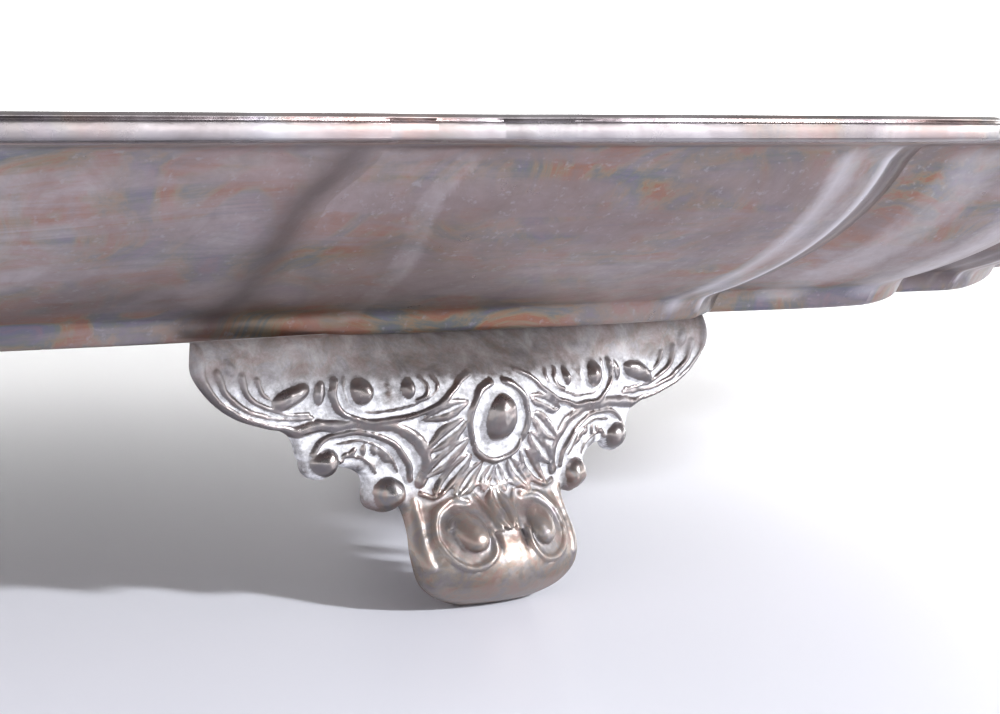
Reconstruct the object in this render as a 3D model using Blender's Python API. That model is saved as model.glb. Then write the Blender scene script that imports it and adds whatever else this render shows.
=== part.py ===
"""Round footed vanity tray: a stamped pan with a pie-crust wall, an edge moulding and three cast feet.

Metres, +Z up. The origin is on the table under the middle of the tray.
Angles round the tray are measured from the front (-Y) towards +X.
"""

import math

import bmesh
import bpy
from mathutils import Vector

MM = 0.001
CLEARANCE = 0.3 * MM  # gap that soldered faces keep

# Pan
BASE_RADIUS = 143.0 * MM  # where the band meets the floor, before the lobes
UNDERSIDE_HEIGHT = 21.8 * MM  # table to the underside of the floor
SHEET = 1.2 * MM
BAND_HEIGHT = 1.9 * MM  # upright strip at the bottom of the wall
BAND_LEAN = 1.0 * MM
WALL_HEIGHT = 13.6 * MM  # underside of the floor to the top of the wall
WALL_FLARE = 20.8 * MM
WALL_FULLNESS = (0.735, 0.35)  # where the wall's belly pulls to, as shares of its run and rise
WALL_STEPS = 4
FLANGE_WIDTH = 6.9 * MM
FLANGE_RISE = 1.4 * MM

# Edge moulding
MOULDING_WIDTH = 3.0 * MM
MOULDING_HEIGHT = 1.9 * MM
MOULDING_SIDES = 6

# Pie-crust outline: one repeat is a small pointed lobe, a long arc each side of it and half a bracket.
REPEATS = 8
SMALL_LOBE_ANGLE = math.radians(31.8)  # the first small lobe's crown
LOBE_POINT = 1.35  # 1 is a sharp point, 2 a round crown
# (share of the half repeat at the floor, at the lip, step out at the floor, at the lip)
CROWN = (0.0, 0.0, 4.6 * MM, 4.6 * MM)
LOBE_END = (0.22, 0.25, -0.7 * MM, -0.3 * MM)
GROOVE_END = (0.345, 0.30, 2.6 * MM, 2.0 * MM)
SHOULDER = (0.38, 0.385, 2.9 * MM, 3.0 * MM)
ARC_END = (0.89, 0.927, 0.2 * MM, 0.2 * MM)
BRACKET = (0.92, 0.958, -0.6 * MM, -2.0 * MM)

# Cast feet
FOOT_COUNT = 3
FOOT_ANGLE = math.radians(60.0)
FOOT_TURN = math.radians(1.8)  # each foot is soldered on a little askew
FOOT_SETBACK = 0.4 * MM  # back from the base radius
FOOT_WIDTH = 48.6 * MM
FOOT_CASTING = 2.0 * MM  # thickness of the plate
KNEE = 3.8 * MM  # how far the plate bulges
KNEE_REACH = 0.71  # share of the half width that the bulge covers
WING_SETBACK = 0.3 * MM
EGG = (3.2 * MM, 2.8 * MM, 4.4 * MM)
EGG_HEIGHT = 0.70  # share of the foot's height
# (share of the foot's height, share of the half width): the wings, down to the neck above the toe
WING_OUTLINE = (
    (1.0, 1.0), (0.895, 0.995), (0.80, 0.95), (0.73, 0.87), (0.69, 0.75),
    (0.66, 0.67), (0.58, 0.60), (0.52, 0.48), (0.46, 0.40),
)
# (share of the foot's height, share of the knee): the front of the plate down its middle
PLATE_PROFILE = (
    (1.0, -0.25), (0.93, 0.25), (0.86, 0.76), (0.79, 1.0), (0.70, 1.0), (0.58, 0.87), (0.47, 0.68),
)
TOE_WIDTH = 15.4 * MM
TOE_REACH = 6.6 * MM  # how far the toe stands out
TOE_DEPTH = 5.0 * MM
TOE_FLAT = 6.0 * MM  # width of the flat that stands on the table
TOE_CROWN = 2.6 * MM  # how far the toe's sides fall back
TOE_BLEND = (0.44, 0.28)  # shares of the height over which the plate turns into the toe
# (share of the foot's height, share of the toe's half width)
TOE_OUTLINE = ((0.39, 0.92), (0.33, 0.95), (0.24, 1.0), (0.16, 1.0), (0.09, 0.88), (0.045, 0.72))
# (share of the foot's height, share of the toe's reach): the front of the toe down its middle
TOE_PROFILE = (
    (0.405, 0.45), (0.33, 0.70), (0.24, 0.91), (0.16, 1.0), (0.09, 0.92), (0.045, 0.78), (0.0, 0.52),
)
PLATE_COLUMNS = 10
# (share of the foot's half width, share of its height, radius)
BEADS = ((0.585, 0.565, 1.4 * MM), (0.37, 0.437, 1.55 * MM))

# Solder behind each foot
SOLDER_LEG = 1.2 * MM
SOLDER_WIDTH = 0.75  # share of the width of the foot
SOLDER_STEPS = 8

FOOT_HEIGHT = UNDERSIDE_HEIGHT - CLEARANCE


def clear_scene():
    for thing in list(bpy.data.objects):
        bpy.data.objects.remove(thing, do_unlink=True)


def metal(name, colour, roughness):
    material = bpy.data.materials.new(name)
    material.use_nodes = True
    shader = material.node_tree.nodes["Principled BSDF"]
    shader.inputs["Base Color"].default_value = (*colour, 1.0)
    shader.inputs["Metallic"].default_value = 1.0
    shader.inputs["Roughness"].default_value = roughness
    return material


def make_object(name, mesh, material):
    mesh.materials.clear()
    mesh.materials.append(material)
    thing = bpy.data.objects.new(name, mesh)
    bpy.context.scene.collection.objects.link(thing)
    return thing


def mesh_from(bm, name, sharp=math.radians(30)):
    bmesh.ops.recalc_face_normals(bm, faces=bm.faces)
    mesh = bpy.data.meshes.new(name)
    bm.to_mesh(mesh)
    bm.free()
    mesh.shade_smooth()
    mesh.set_sharp_from_angle(angle=sharp)
    return mesh


def interpolate(table, at):
    """Straight-line value at `at` in a table of (position, value) that runs downwards."""
    for (high, first), (low, second) in zip(table, table[1:]):
        if at >= low:
            return second + (first - second) * (at - low) / (high - low)
    return table[-1][1]


# Pie-crust outline ---------------------------------------------------------------------------


def station(spec, level):
    """(angle, step) of one fold line at a level from 0, the floor, to 1, the lip."""
    floor_share, lip_share, floor_step, lip_step = spec
    half = math.pi / REPEATS
    share = floor_share + (lip_share - floor_share) * level
    return share * half, floor_step + (lip_step - floor_step) * level


def half_outline(level):
    """(angle, step) from the small lobe's crown to the bracket, leaving out the bracket's middle."""
    crown, lobe_end, groove_end, shoulder, arc_end, bracket = (
        station(spec, level) for spec in (CROWN, LOBE_END, GROOVE_END, SHOULDER, ARC_END, BRACKET)
    )
    points = [
        (lobe_end[0] * share, lobe_end[1] + (crown[1] - lobe_end[1]) * (1 - share**LOBE_POINT))
        for share in (0.0, 0.22, 0.6)
    ]
    points += [lobe_end, groove_end, shoulder]
    points += [
        tuple(start + (end - start) * share for start, end in zip(shoulder, arc_end))
        for share in (1 / 3, 2 / 3)
    ]
    return points + [arc_end, bracket]


def outline(level):
    """(angle, step out) all the way round."""
    half = half_outline(level)
    middle = (math.pi / REPEATS, half[-1][1])
    one_side = half + [middle]
    repeat = [(-angle, step) for angle, step in reversed(half[1:])] + one_side
    turn = 2 * math.pi / REPEATS
    return [
        (SMALL_LOBE_ANGLE + turn * count + angle, step)
        for count in range(REPEATS)
        for angle, step in repeat
    ]


def around(angle, radius, height):
    return Vector((radius * math.sin(angle), -radius * math.cos(angle), height))


def ring(bm, out, height, level):
    return [
        bm.verts.new(around(angle, BASE_RADIUS + out + step, height)) for angle, step in outline(level)
    ]


def bridge(bm, first, second):
    for index, vert in enumerate(first):
        after = (index + 1) % len(first)
        bm.faces.new((vert, first[after], second[after], second[index]))


# Pan -----------------------------------------------------------------------------------------


def pan_section():
    """(out, up) of the underside, from the floor's edge to the end of the flange."""
    foot = Vector((BAND_LEAN, BAND_HEIGHT))
    top = Vector((WALL_FLARE, WALL_HEIGHT))
    run = top - foot
    belly = foot + Vector((run.x * WALL_FULLNESS[0], run.y * WALL_FULLNESS[1]))
    points = [Vector((0.0, 0.0)), foot]
    for step in range(1, WALL_STEPS + 1):
        share = step / WALL_STEPS
        points.append(foot * (1 - share) ** 2 + belly * 2 * share * (1 - share) + top * share**2)
    points.append(top + Vector((FLANGE_WIDTH * 0.2, FLANGE_RISE * 0.8)))
    points.append(top + Vector((FLANGE_WIDTH, FLANGE_RISE)))
    return points


def offset_section(points, distance):
    """The same line moved up and inwards by the sheet's thickness, with mitred corners."""
    ends = [points[0] - Vector((1.0, 0.0))] + points + [points[-1] + Vector((1.0, 0.0))]
    moved = []
    for before, here, after in zip(ends, ends[1:], ends[2:]):
        first = (here - before).normalized()
        second = (after - here).normalized()
        across = Vector((-first.y - second.y, first.x + second.x)).normalized()
        moved.append(here + across * distance / across.dot(Vector((-first.y, first.x))))
    return moved


def pan_mesh():
    bm = bmesh.new()
    under = pan_section()
    upper = offset_section(under, SHEET)
    lip = under[-1].y
    levels = [point.y / lip for point in under]
    below = [
        ring(bm, point.x, UNDERSIDE_HEIGHT + point.y, level) for point, level in zip(under, levels)
    ]
    above = [
        ring(bm, point.x, UNDERSIDE_HEIGHT + point.y, level) for point, level in zip(upper, levels)
    ]
    loops = below + above[::-1]
    for first, second in zip(loops, loops[1:]):
        bridge(bm, first, second)
    bm.faces.new(below[0])
    bm.faces.new(above[0])
    return mesh_from(bm, "tray_pan")


# Moulding ------------------------------------------------------------------------------------


def moulding_mesh():
    """A half-round strip with a flat inner face that meets the edge of the flange."""
    bm = bmesh.new()
    inner = WALL_FLARE + FLANGE_WIDTH + CLEARANCE
    bottom = UNDERSIDE_HEIGHT + WALL_HEIGHT + FLANGE_RISE
    flat = MOULDING_WIDTH - MOULDING_HEIGHT / 2
    middle = bottom + MOULDING_HEIGHT / 2
    section = [(inner, bottom), (inner, bottom + MOULDING_HEIGHT)]
    for step in range(MOULDING_SIDES - 1):
        turn = math.pi / 2 - math.pi * step / (MOULDING_SIDES - 2)
        reach = MOULDING_HEIGHT / 2
        section.append((inner + flat + reach * math.cos(turn), middle + reach * math.sin(turn)))
    loops = [ring(bm, out, height, 1.0) for out, height in section]
    for first, second in zip(loops, loops[1:] + loops[:1]):
        bridge(bm, first, second)
    return mesh_from(bm, "rim_moulding")


# Feet ----------------------------------------------------------------------------------------


def foot_half_width(share):
    half, toe = FOOT_WIDTH / 2, TOE_WIDTH / 2
    table = [(height, width * half) for height, width in WING_OUTLINE]
    table += [(height, width * toe) for height, width in TOE_OUTLINE]
    return interpolate(table + [(0.0, TOE_FLAT / 2)], share)


def toe_share(share):
    """0 in the plate above, 1 in the toe."""
    top, bottom = TOE_BLEND
    return min(1.0, max(0.0, (top - share) / (top - bottom)))


def foot_front(across, share):
    """How far the front face stands out, at a place across the foot and a share of its height."""
    profile = [(height, out * KNEE) for height, out in PLATE_PROFILE]
    profile += [(height, out * TOE_REACH) for height, out in TOE_PROFILE]
    crest = interpolate(profile, share)
    spread = min(1.0, abs(across) / (KNEE_REACH * FOOT_WIDTH / 2))
    plate = (crest + WING_SETBACK) * (1 - spread**2) ** 2 - WING_SETBACK
    toe = crest - TOE_CROWN * (across / (TOE_WIDTH / 2)) ** 2
    return plate + (toe - plate) * toe_share(share)


def foot_plate_mesh():
    bm = bmesh.new()
    front, back = [], []
    for share in [height for height, _ in WING_OUTLINE + TOE_OUTLINE] + [0.0]:
        half = foot_half_width(share)
        thick = FOOT_CASTING + (TOE_DEPTH - FOOT_CASTING) * toe_share(share)
        row_front, row_back = [], []
        for column in range(PLATE_COLUMNS + 1):
            across = half * (2 * column / PLATE_COLUMNS - 1)
            out = foot_front(across, share)
            height = share * FOOT_HEIGHT
            row_front.append(bm.verts.new((across, -out, height)))
            row_back.append(bm.verts.new((across, thick - out, height)))
        front.append(row_front)
        back.append(row_back)
    loops = [ahead + behind[::-1] for ahead, behind in zip(front, back)]
    for first, second in zip(loops, loops[1:]):
        bridge(bm, first, second)
    for ends in (loops[0], loops[-1]):
        for column in range(PLATE_COLUMNS):
            bm.faces.new((ends[column], ends[column + 1], ends[-2 - column], ends[-1 - column]))
    return mesh_from(bm, "foot_plate")


def ball_mesh(name, centre, radii):
    bm = bmesh.new()
    bmesh.ops.create_uvsphere(bm, u_segments=10, v_segments=6, radius=1.0)
    bmesh.ops.scale(bm, vec=radii, verts=bm.verts)
    bmesh.ops.translate(bm, vec=centre, verts=bm.verts)
    return mesh_from(bm, name)


def foot_ornaments():
    """The egg in the middle and the beads under the wings, as (centre, radii)."""
    shapes = []
    egg_centre = (0.0, -foot_front(0.0, EGG_HEIGHT), EGG_HEIGHT * FOOT_HEIGHT)
    shapes.append((egg_centre, [size / 2 for size in EGG]))
    for half_share, height_share, radius in BEADS:
        for side in (-1, 1):
            across = side * half_share * FOOT_WIDTH / 2
            out = foot_front(across, height_share) - FOOT_CASTING / 3
            shapes.append(((across, -out, height_share * FOOT_HEIGHT), [radius] * 3))
    return shapes


def foot_mesh(material):
    plate = make_object("foot_plate", foot_plate_mesh(), material)
    helpers = [plate]
    for count, (centre, radii) in enumerate(foot_ornaments()):
        ball = make_object(f"foot_ball_{count}", ball_mesh("foot_ball", centre, radii), material)
        joined = plate.modifiers.new(ball.name, "BOOLEAN")
        joined.operation = "UNION"
        joined.solver = "EXACT"
        joined.object = ball
        helpers.append(ball)
    evaluated = plate.evaluated_get(bpy.context.evaluated_depsgraph_get())
    mesh = bpy.data.meshes.new_from_object(evaluated)
    mesh.name = "foot"
    for helper in helpers:
        bpy.data.objects.remove(helper, do_unlink=True)
    return mesh


def solder_mesh():
    """A three-cornered fillet in the corner between the floor's underside and the back of a foot."""
    bm = bmesh.new()
    top = FOOT_HEIGHT
    loops = []
    for step in range(SOLDER_STEPS + 1):
        across = FOOT_WIDTH * SOLDER_WIDTH * (step / SOLDER_STEPS - 0.5)
        low_share = 1 - SOLDER_LEG / FOOT_HEIGHT
        upper = FOOT_CASTING - foot_front(across, 1.0) + CLEARANCE
        lower = FOOT_CASTING - foot_front(across, low_share) + CLEARANCE
        corners = ((upper, top), (upper + SOLDER_LEG, top), (lower, top - SOLDER_LEG))
        loops.append([bm.verts.new((across, back, height)) for back, height in corners])
    for first, second in zip(loops, loops[1:]):
        bridge(bm, first, second)
    bm.faces.new(loops[0])
    bm.faces.new(loops[-1])
    return mesh_from(bm, "foot_solder")


def place_under_edge(thing, angle):
    """Puts a piece that was made at the origin, facing the front, under the tray's edge."""
    thing.location = around(angle, BASE_RADIUS - FOOT_SETBACK, 0.0)
    thing.rotation_euler = (0.0, 0.0, angle + FOOT_TURN)


def main():
    clear_scene()
    silver = metal("tarnished_silver_plate", (0.42, 0.37, 0.36), 0.30)
    edge = metal("rubbed_silver_plate", (0.58, 0.55, 0.54), 0.22)
    cast = metal("cast_silver_plate", (0.34, 0.32, 0.32), 0.38)
    solder = metal("silver_solder", (0.40, 0.39, 0.39), 0.5)

    make_object("tray_pan", pan_mesh(), silver)
    make_object("rim_moulding", moulding_mesh(), edge)
    foot = foot_mesh(cast)
    fillet = solder_mesh()
    for count in range(FOOT_COUNT):
        angle = FOOT_ANGLE + 2 * math.pi * count / FOOT_COUNT
        place_under_edge(make_object(f"foot_{count + 1}", foot, cast), angle)
        place_under_edge(make_object(f"foot_solder_{count + 1}", fillet, solder), angle)


main()
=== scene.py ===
"""Looks of a round footed vanity tray in tarnished silver plate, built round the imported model.

Metres, +Z up. Angles round the tray run from the front (-Y) towards +X.
"""

import math
import random

import bpy
import numpy as np
from mathutils import Matrix, Vector


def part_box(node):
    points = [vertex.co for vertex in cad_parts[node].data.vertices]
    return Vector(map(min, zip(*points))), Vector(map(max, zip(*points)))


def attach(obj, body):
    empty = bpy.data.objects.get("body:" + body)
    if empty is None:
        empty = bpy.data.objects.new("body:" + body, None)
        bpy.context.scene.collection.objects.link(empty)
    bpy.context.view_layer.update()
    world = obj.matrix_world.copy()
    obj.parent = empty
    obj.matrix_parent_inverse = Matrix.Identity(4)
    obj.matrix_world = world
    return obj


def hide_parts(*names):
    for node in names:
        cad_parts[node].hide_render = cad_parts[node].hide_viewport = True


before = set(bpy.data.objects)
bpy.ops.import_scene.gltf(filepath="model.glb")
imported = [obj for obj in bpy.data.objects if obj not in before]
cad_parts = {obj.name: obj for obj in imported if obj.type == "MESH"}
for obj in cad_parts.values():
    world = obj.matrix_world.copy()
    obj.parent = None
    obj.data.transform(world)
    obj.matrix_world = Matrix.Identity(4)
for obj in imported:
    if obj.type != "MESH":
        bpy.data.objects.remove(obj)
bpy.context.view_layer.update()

MM = 0.001
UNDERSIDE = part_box("tray_pan")[0].z
MOULDING_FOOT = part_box("rim_moulding")[0].z
MOULDING_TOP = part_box("rim_moulding")[1].z
FOOT_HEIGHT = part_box("foot_1")[1].z

# Pan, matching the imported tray
BASE_RADIUS = 143.0 * MM
SHEET = 1.2 * MM
BAND_HEIGHT = 1.9 * MM
BAND_LEAN = 1.0 * MM
WALL_HEIGHT = 13.6 * MM
WALL_FLARE = 20.8 * MM
WALL_FULLNESS = (0.735, 0.35)
FLANGE_WIDTH = 6.9 * MM
FLANGE_RISE = 1.4 * MM
SEAM = 0.3 * MM

# Pie-crust outline: (share of the half repeat at the floor, at the lip,
# step out at the floor, at the lip)
REPEATS = 8
SMALL_LOBE_ANGLE = math.radians(31.8)
LOBE_POINT = 1.35
CROWN = (0.0, 0.0, 4.6 * MM, 4.6 * MM)
LOBE_END = (0.28, 0.276, -0.6 * MM, -0.4 * MM)
GROOVE_END = (0.335, 0.325, 1.3 * MM, 1.2 * MM)
SHOULDER = (0.38, 0.385, 2.9 * MM, 3.0 * MM)
FACET = (0.44, 0.471, 3.2 * MM, 3.7 * MM)
ARC_END = (0.86, 0.905, 0.2 * MM, 0.2 * MM)
BRACKET = (0.935, 0.965, -0.9 * MM, -2.0 * MM)
# columns of mesh between one fold and the next, from the crown to the bracket's middle
FOLD_COLUMNS = (12, 5, 4, 5, 13, 4, 4)
FOLD_CREASE = math.radians(14.0)
BRACKET_SKEW = math.radians(-1.0)  # the wall's bracket leans back from the one in the rim

# Feet
FOOT_COUNT = 3
FOOT_ANGLE = math.radians(60.0)
FOOT_TURN = math.radians(1.8)
FOOT_SETBACK = 0.4 * MM
FOOT_HALF = 24.3 * MM
FOOT_CASTING = 2.0 * MM
FOOT_EDGE_THICKNESS = 1.0 * MM
KNEE = 3.8 * MM
KNEE_REACH = 0.71
WING_SETBACK = 0.3 * MM
TOE_HALF = 7.7 * MM
TOE_REACH = 6.6 * MM
TOE_DEPTH = 5.0 * MM
TOE_CROWN = 2.6 * MM
TOE_BLEND = (0.44, 0.28)
RELIEF_PITCH = 0.125 * MM

# Casting, in millimetres
TOP_ROLL = 0.6  # how far the top edge rolls back, over the next figure's reach
TOP_ROLL_REACH = 1.6
LAP = 0.50  # how far the apron comes up to meet the pan, over the next two figures
LAP_START = 20.2
LAP_REACH = 1.2
GRID_MARGIN = 0.4  # grid kept past the widest part of the outline
EDGE_ROUNDING = 0.55
EDGE_SNAP = 0.75  # share of the pitch within which a grid point moves onto the edge
SLOPE_STEP = 0.02
CASTING_SWAY = (0.07, 2.2)  # how far the ornament wanders, and over what distance
COARSE_SKIN = (0.035, 0.9)
FINE_SKIN = (0.02, 0.45)
BACK_REACH = 4.0  # how far from the edge the back is at its full thickness
FOOT_SMOOTH_ANGLE = math.radians(60)


# Modelling helpers ---------------------------------------------------------------------------


def start_piece():
    if bpy.context.object and bpy.context.object.mode != "OBJECT":
        bpy.ops.object.mode_set(mode="OBJECT")
    bpy.ops.object.select_all(action="DESELECT")


def coordinates(mesh):
    flat = np.empty(len(mesh.vertices) * 3)
    mesh.vertices.foreach_get("co", flat)
    return flat.reshape(-1, 3)


def set_coordinates(mesh, points):
    mesh.vertices.foreach_set("co", np.ascontiguousarray(points).ravel())
    mesh.update()


def store(mesh, name, values):
    values = np.asarray(values, float)
    if values.ndim == 1:
        mesh.attributes.new(name, "FLOAT", "POINT").data.foreach_set("value", values)
    else:
        attribute = mesh.attributes.new(name, "FLOAT_VECTOR", "POINT")
        attribute.data.foreach_set("vector", values.ravel())


def finish_piece(piece, material, replaced=()):
    piece.data.materials.clear()
    piece.data.materials.append(material)
    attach(piece, "root")
    if replaced:
        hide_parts(*replaced)


def turned(name, section, closed):
    """A section in the XZ plane, as (radius, height), spun once round Z."""
    start_piece()
    bpy.ops.mesh.primitive_circle_add(vertices=len(section), radius=0.1, fill_type="NOTHING")
    piece = bpy.context.object
    piece.name = piece.data.name = name
    set_coordinates(piece.data, [(radius, 0.0, height) for radius, height in section])
    bpy.ops.object.mode_set(mode="EDIT")
    if not closed:
        bpy.ops.mesh.select_all(action="DESELECT")
        bpy.ops.object.mode_set(mode="OBJECT")
        last = len(section) - 1
        for edge in piece.data.edges:
            edge.select = set(edge.vertices) == {0, last}
        bpy.ops.object.mode_set(mode="EDIT")
        bpy.ops.mesh.select_mode(type="EDGE")
        bpy.ops.mesh.delete(type="EDGE_FACE")
        bpy.ops.mesh.select_mode(type="VERT")
    bpy.ops.mesh.select_all(action="SELECT")
    sector = 2 * math.pi / REPEATS
    bpy.ops.mesh.spin(steps=2 * sum(FOLD_COLUMNS), angle=sector, center=(0, 0, 0), axis=(0, 0, 1))
    while sector < 1.9 * math.pi:
        bpy.ops.mesh.select_all(action="SELECT")
        bpy.ops.mesh.duplicate()
        bpy.ops.transform.rotate(value=sector, orient_axis="Z", center_override=(0, 0, 0))
        sector *= 2
    bpy.ops.mesh.select_all(action="SELECT")
    bpy.ops.mesh.remove_doubles(threshold=0.002 * MM)
    bpy.ops.mesh.normals_make_consistent(inside=False)
    bpy.ops.object.mode_set(mode="OBJECT")
    return piece


# Pie-crust crimping --------------------------------------------------------------------------


def smooth_step(share):
    share = np.clip(share, 0.0, 1.0)
    return share * share * (3 - 2 * share)


def fold_table(level):
    """Angles and steps of every mesh column across half a repeat, at a level from floor to lip."""
    half = math.pi / REPEATS
    folds = [CROWN, LOBE_END, GROOVE_END, SHOULDER, FACET, ARC_END, BRACKET]
    angles = [(low + (high - low) * level) * half for low, high, _, _ in folds] + [half]
    steps = [low + (high - low) * level for _, _, low, high in folds]
    steps.append(steps[-1])
    angle_row, step_row = [], []
    for index, columns in enumerate(FOLD_COLUMNS):
        share = np.arange(columns) / columns
        if index == 0:
            share = share**0.85
            rise = share**LOBE_POINT
        elif index == 4:
            share = smooth_step(share) * 0.45 + share * 0.55
            rise = share
        else:
            rise = smooth_step(share) * 0.35 + share * 0.65
        angle_row.append(angles[index] + (angles[index + 1] - angles[index]) * share)
        step_row.append(steps[index] + (steps[index + 1] - steps[index]) * rise)
    angle_row = np.concatenate(angle_row + [[angles[-1]]])
    step_row = np.concatenate(step_row + [[steps[-1]]])
    facet = sum(FOLD_COLUMNS[:4])
    near = slice(facet - 1, facet + 2)
    before, after = step_row[facet - 2 : facet + 1], step_row[facet : facet + 3]
    step_row[near] = (before + 2 * step_row[near] + after) / 4
    return angle_row, step_row


# (which fold, on the leading side, on the trailing side, width in columns): above nought a ridge is
# painted bright, partly worn silver and partly painted highlight; below nought a hollow is painted
# dark, partly tarnish and partly painted shade
FOLD_SHADING_AND_WEAR = (
    (0, 0.5, 0.5, 2.0), (2, 0.4, 0.7, 0.7), (3, 0.7, 1.0, 0.6), (4, 0.4, 0.65, 0.9),
    (5.3, -0.75, 0.0, 1.9), (5.6, 0.0, 0.4, 0.9),
)
# whole facets painted lighter or darker for how the light falls on them, as (from fold, to fold,
# tone): painted highlight above nought, painted shade below
FACET_PAINTED_LIGHT = ((1.0, 3.0, -0.75), (3.0, 4.0, 0.28), (0.3, 0.9, 0.42))


def fold_shading_and_wear(place, level, trailing):
    """Painted light on the folds: bright ridges, partly worn and partly painted highlight, count up
    to 1; dark hollows, partly tarnish and partly painted shade, down to -1. Whole facets get painted
    highlight or painted shade too.
    """
    ends = np.concatenate([[0], np.cumsum(FOLD_COLUMNS)])
    painted_light_and_wear = np.zeros(len(place))
    for fold, leading_side, trailing_side, width in FOLD_SHADING_AND_WEAR:
        column = np.interp(fold, np.arange(len(ends)), ends)
        strength = np.where(trailing, trailing_side, leading_side)
        painted_light_and_wear += strength * np.exp(-(((place - column) / width) ** 2))
    spot = np.interp(place, ends, np.arange(len(ends)))
    for low, high, tone in FACET_PAINTED_LIGHT:
        painted_light_and_wear += tone * np.clip(np.minimum(spot - low, high - spot) * 5, 0, 1)
    return painted_light_and_wear * smooth_step(level / 0.1) * smooth_step((1.02 - level) / 0.1)


def crimp(piece, lip):
    """Presses the lobes into a turned piece. Near the middle of the floor nothing moves."""
    points = coordinates(piece.data)
    radius = np.hypot(points[:, 0], points[:, 1])
    turn = np.arctan2(points[:, 0], -points[:, 1]) % (2 * math.pi)
    columns = sum(FOLD_COLUMNS)
    total = 2 * columns * REPEATS
    column = np.round(turn / (2 * math.pi) * total).astype(int) % total
    repeat, place = np.divmod(column, 2 * columns)
    mirrored = place > columns
    place = np.where(mirrored, 2 * columns - place, place)
    level = np.clip((points[:, 2] - UNDERSIDE) / lip, 0.0, 1.0)
    fade = smooth_step((radius - 0.85 * BASE_RADIUS) / (0.13 * BASE_RADIUS))
    low_angle, low_step = fold_table(0.0)
    high_angle, high_step = fold_table(1.0)
    angle = low_angle[place] + (high_angle - low_angle)[place] * level
    step = low_step[place] + (high_step - low_step)[place] * level
    angle = np.where(mirrored, 2 * math.pi / REPEATS - angle, angle)
    arc = sum(FOLD_COLUMNS[:4])
    lean = smooth_step((place - arc) / (columns - arc)) * smooth_step((0.95 - level) / 0.25)
    angle = SMALL_LOBE_ANGLE + repeat * 2 * math.pi / REPEATS + angle + BRACKET_SKEW * lean
    radius = radius + step * fade
    moved = np.stack([radius * np.sin(angle), -radius * np.cos(angle), points[:, 2]], 1)
    set_coordinates(piece.data, moved)
    bpy.ops.object.shade_smooth_by_angle(angle=FOLD_CREASE)
    # painted highlights and painted shade on the folds and facets, together with worn ridges and
    # tarnished hollows
    store(piece.data, "fold", fold_shading_and_wear(place, level, mirrored) * fade)
    low_band = smooth_step((0.26 - level) / 0.12) + 0.5 * smooth_step((level - 0.75) / 0.15)
    store(piece.data, "stain", low_band * fade)
    store(piece.data, "lie", np.stack([angle * BASE_RADIUS, radius, points[:, 2]], 1))


# Sections ------------------------------------------------------------------------------------


def bent(points, reaches, samples=4):
    """A line through corner points, with each corner eased over its reach."""
    line = [points[0]]
    for before, here, after, reach in zip(points, points[1:], points[2:], reaches):
        back = (before - here).normalized() * reach
        ahead = (after - here).normalized() * reach
        for count in range(samples + 1):
            share = count / samples
            line.append(here + back * (1 - share) ** 2 + ahead * share**2)
    return line + [points[-1]]


def wall_curve(samples):
    """The belly of the wall, from the band's top to the flange."""
    foot = Vector((BAND_LEAN, BAND_HEIGHT))
    top = Vector((WALL_FLARE, WALL_HEIGHT))
    run = top - foot
    belly = foot + Vector((run.x * WALL_FULLNESS[0], run.y * WALL_FULLNESS[1]))
    shares = [count / samples for count in range(samples + 1)]
    return [foot * (1 - s) ** 2 + belly * 2 * s * (1 - s) + top * s**2 for s in shares]


def moved_up(line, distance):
    """The same line moved up and inwards by the sheet's thickness."""
    moved = []
    ends = [line[0] * 2 - line[1]] + line + [line[-1] * 2 - line[-2]]
    for before, after, here in zip(ends, ends[2:], line):
        along = (after - before).normalized()
        moved.append(here + Vector((-along.y, along.x)) * distance)
    return moved


def pan_sections():
    """(out, up) of the sheet's underside, outwards from the floor's edge."""
    wall = wall_curve(16)
    top = wall[-1]
    low = bent([Vector((-6 * MM, 0)), Vector((0, 0)), wall[0], wall[2]], (0.55 * MM, 0.7 * MM), 5)
    high = bent(
        [wall[-2], top, top + Vector((FLANGE_WIDTH * 0.2, FLANGE_RISE * 0.85)),
         top + Vector((FLANGE_WIDTH, FLANGE_RISE))],
        (0.3 * MM, 0.8 * MM), 4,
    )
    return low[1:-1] + wall[2:-2] + high


def make_pan(material):
    under = pan_sections()
    upper = moved_up(under, SHEET)
    floor = [share * BASE_RADIUS for share in (0.0, 0.3, 0.6, 0.8, 0.86, 0.9, 0.94, 0.97)]
    section = [(radius, UNDERSIDE) for radius in floor]
    section += [(BASE_RADIUS + point.x, UNDERSIDE + point.y) for point in under]
    section += [(BASE_RADIUS + point.x, UNDERSIDE + point.y) for point in reversed(upper)]
    section += [(radius, UNDERSIDE + SHEET) for radius in reversed(floor)]
    pan = turned("pan_sheet", section, closed=False)
    crimp(pan, WALL_HEIGHT + FLANGE_RISE)
    finish_piece(pan, material, ["tray_pan"])


def make_moulding(material):
    inner = BASE_RADIUS + WALL_FLARE + FLANGE_WIDTH + SEAM
    low, high = MOULDING_FOOT, MOULDING_TOP
    corners = [
        (0.0, low + 0.1 * MM), (1.9 * MM, low), (2.95 * MM, low + 0.25 * MM),
        (2.95 * MM, low + 1.3 * MM), (2.55 * MM, low + 1.42 * MM), (2.75 * MM, low + 1.62 * MM),
        (2.35 * MM, high), (1.7 * MM, high - 0.05 * MM), (1.0 * MM, high - 0.5 * MM),
        (0.0, high - 0.55 * MM), (0.0, low + 0.1 * MM),
    ]
    reaches = [0.4, 0.22, 0.12, 0.06, 0.1, 0.2, 0.2, 0.25, 0.05]
    points = [Vector((out, up)) for out, up in corners]
    line = bent(points, [reach * MM for reach in reaches], 3)[:-1]
    section = [(inner + point.x, point.y) for point in line]
    moulding = turned("edge_moulding", section, closed=True)
    crimp(moulding, WALL_HEIGHT + FLANGE_RISE)
    finish_piece(moulding, material, ["rim_moulding"])


# Cast foot -----------------------------------------------------------------------------------

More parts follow.
